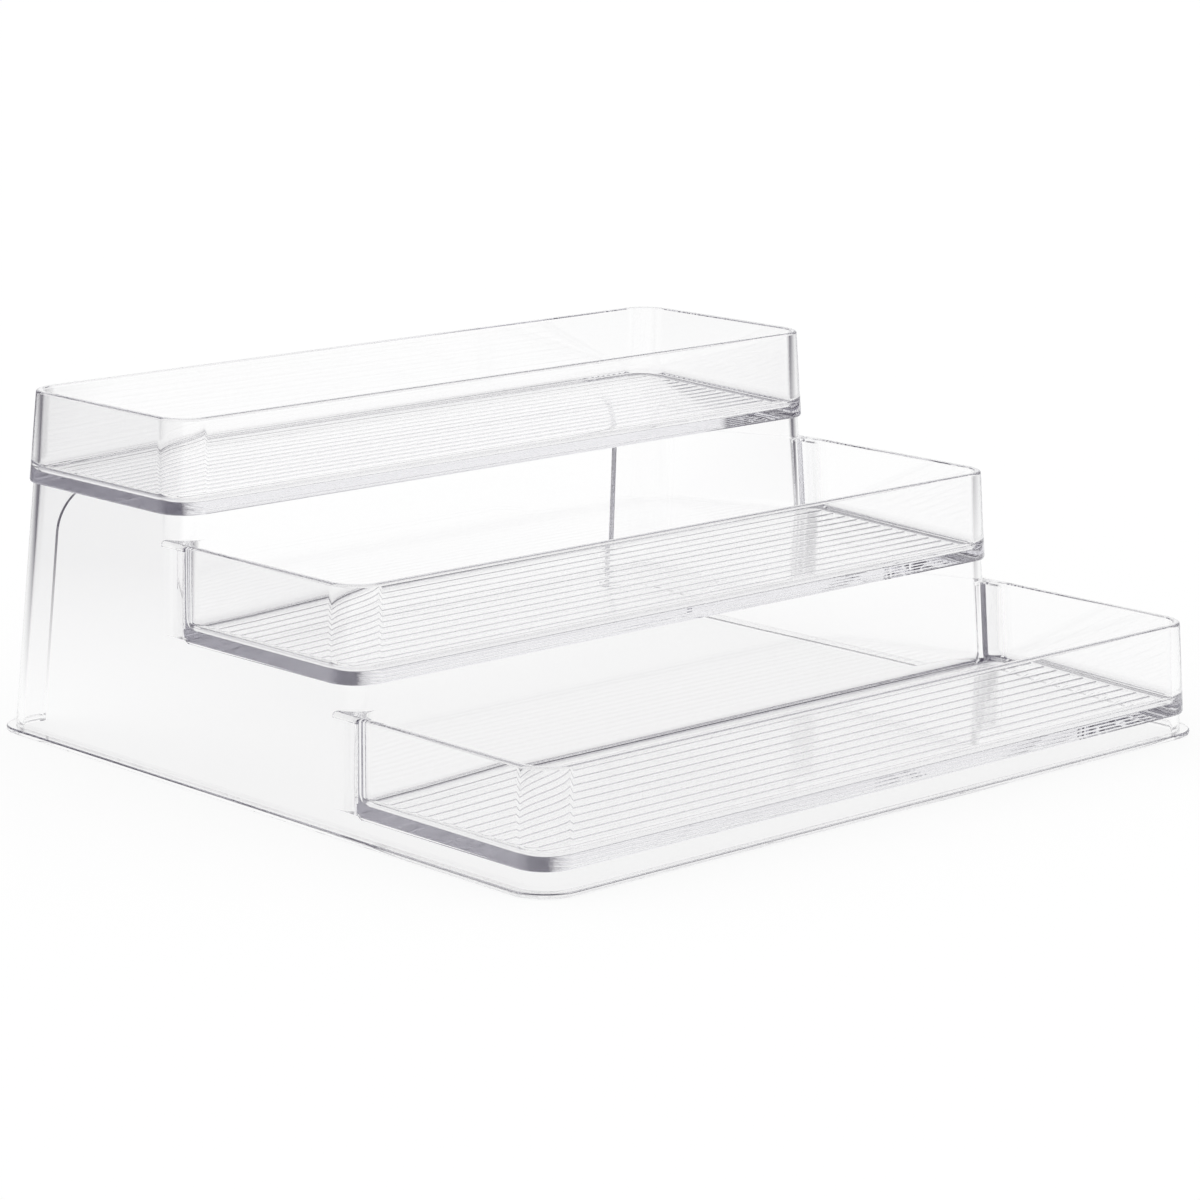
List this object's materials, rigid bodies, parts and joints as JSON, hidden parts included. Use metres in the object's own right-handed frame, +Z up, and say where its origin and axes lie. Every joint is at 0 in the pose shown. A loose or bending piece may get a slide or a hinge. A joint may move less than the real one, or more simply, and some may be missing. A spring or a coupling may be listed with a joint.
{
  "type": "tiered organizer",
  "caption": "Low stepped rack in clear plastic: ribbed trays climb towards the back on a hollow drafted body with a flared foot rim and an open rear.",
  "frame": {"origin": "middle of the footprint's bounding box, on the surface that the object stands on", "axes": "+X runs along the trays from left to right, +Y runs from the front (lowest tray) to the back (highest tray), +Z is up"},
  "size_m": [0.254, 0.2398, 0.0994],
  "materials": {
    "clear_plastic": "clear, polished"
  },
  "bodies": {
    "root": {"bottom_tray": "clear_plastic", "middle_tray": "clear_plastic", "top_tray": "clear_plastic", "lower_riser": "clear_plastic", "upper_riser": "clear_plastic", "front_skirt": "clear_plastic", "rear_frame": "clear_plastic", "foot_bead": "clear_plastic", "left_side": "clear_plastic", "right_side": "clear_plastic", "lower_left_ledge": "clear_plastic", "lower_right_ledge": "clear_plastic", "upper_left_ledge": "clear_plastic", "upper_right_ledge": "clear_plastic"}
  },
  "joints": []
}
